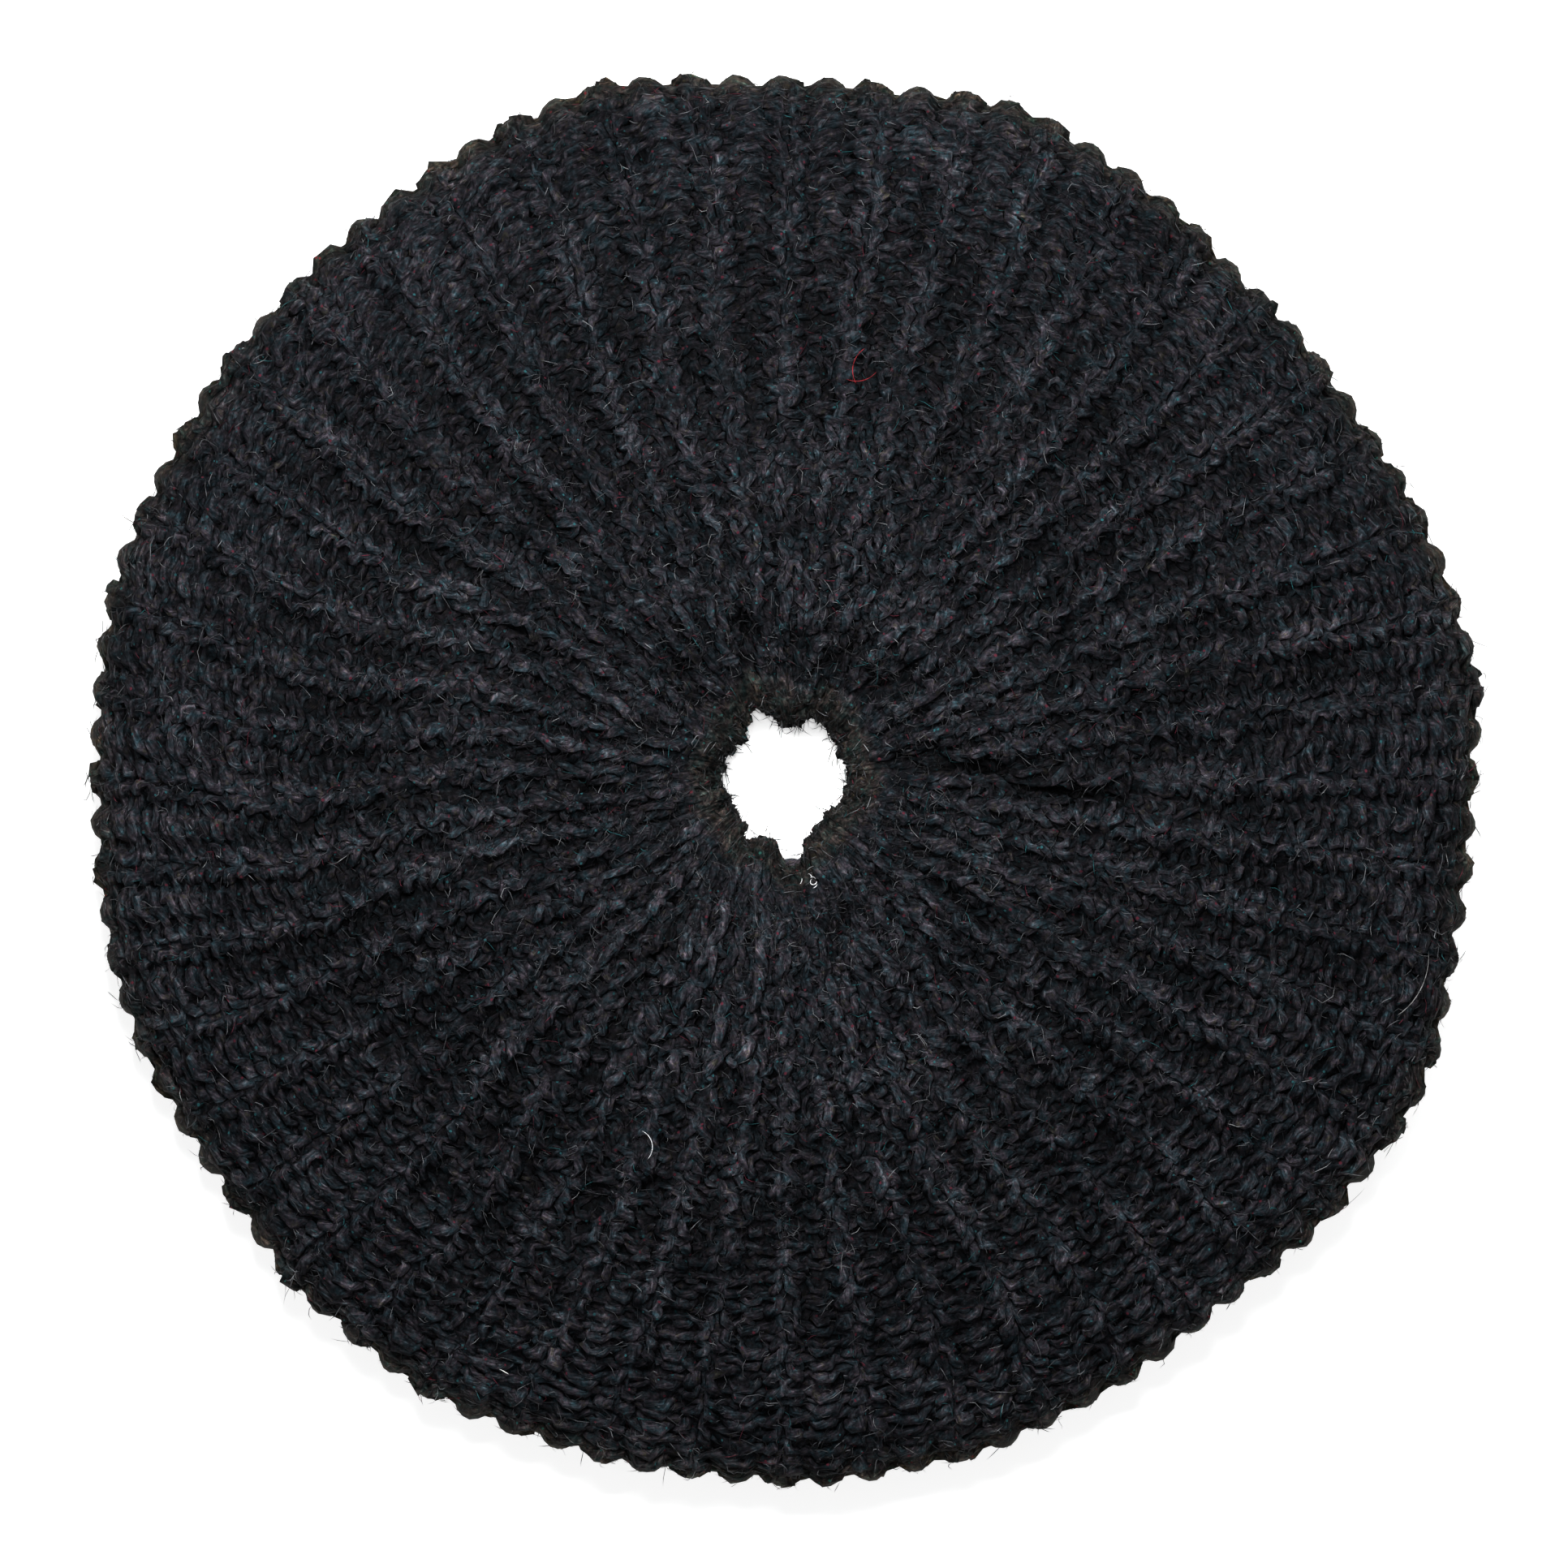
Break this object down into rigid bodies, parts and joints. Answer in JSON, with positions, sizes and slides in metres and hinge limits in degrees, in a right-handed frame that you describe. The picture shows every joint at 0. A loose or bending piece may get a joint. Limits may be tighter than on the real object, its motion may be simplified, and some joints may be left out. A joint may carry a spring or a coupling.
{
  "type": "soft polishing wheel",
  "caption": "Round soft polishing wheel with a domed rib-knit wool face, a scalloped rim, a flat back and a small gathered spindle hole over a felt core.",
  "frame": {"origin": "centre of the flat back, which the wheel lies on", "axes": "+Z along the spindle, from the flat back to the domed face; +X towards the cover's seam"},
  "size_m": [0.2028, 0.2028, 0.0344],
  "materials": {
    "rib_knit_wool": "charcoal heathered wool in 1 x 1 rib, brushed and fuzzy",
    "seam_yarn": "the cover's own charcoal wool yarn",
    "waxed_cord": "twisted dark cord, waxed",
    "soft_felt": "soft pressed grey felt",
    "hard_felt": "dense pressed grey felt"
  },
  "bodies": {
    "root": {"knit_cover": "rib_knit_wool", "cover_seam_yarn": "seam_yarn", "front_draw_cord": "waxed_cord", "back_draw_cord": "waxed_cord", "crown_pad": "soft_felt", "front_felt_ply": "soft_felt", "stiff_felt_ply": "hard_felt", "back_felt_ply": "soft_felt"}
  },
  "joints": []
}
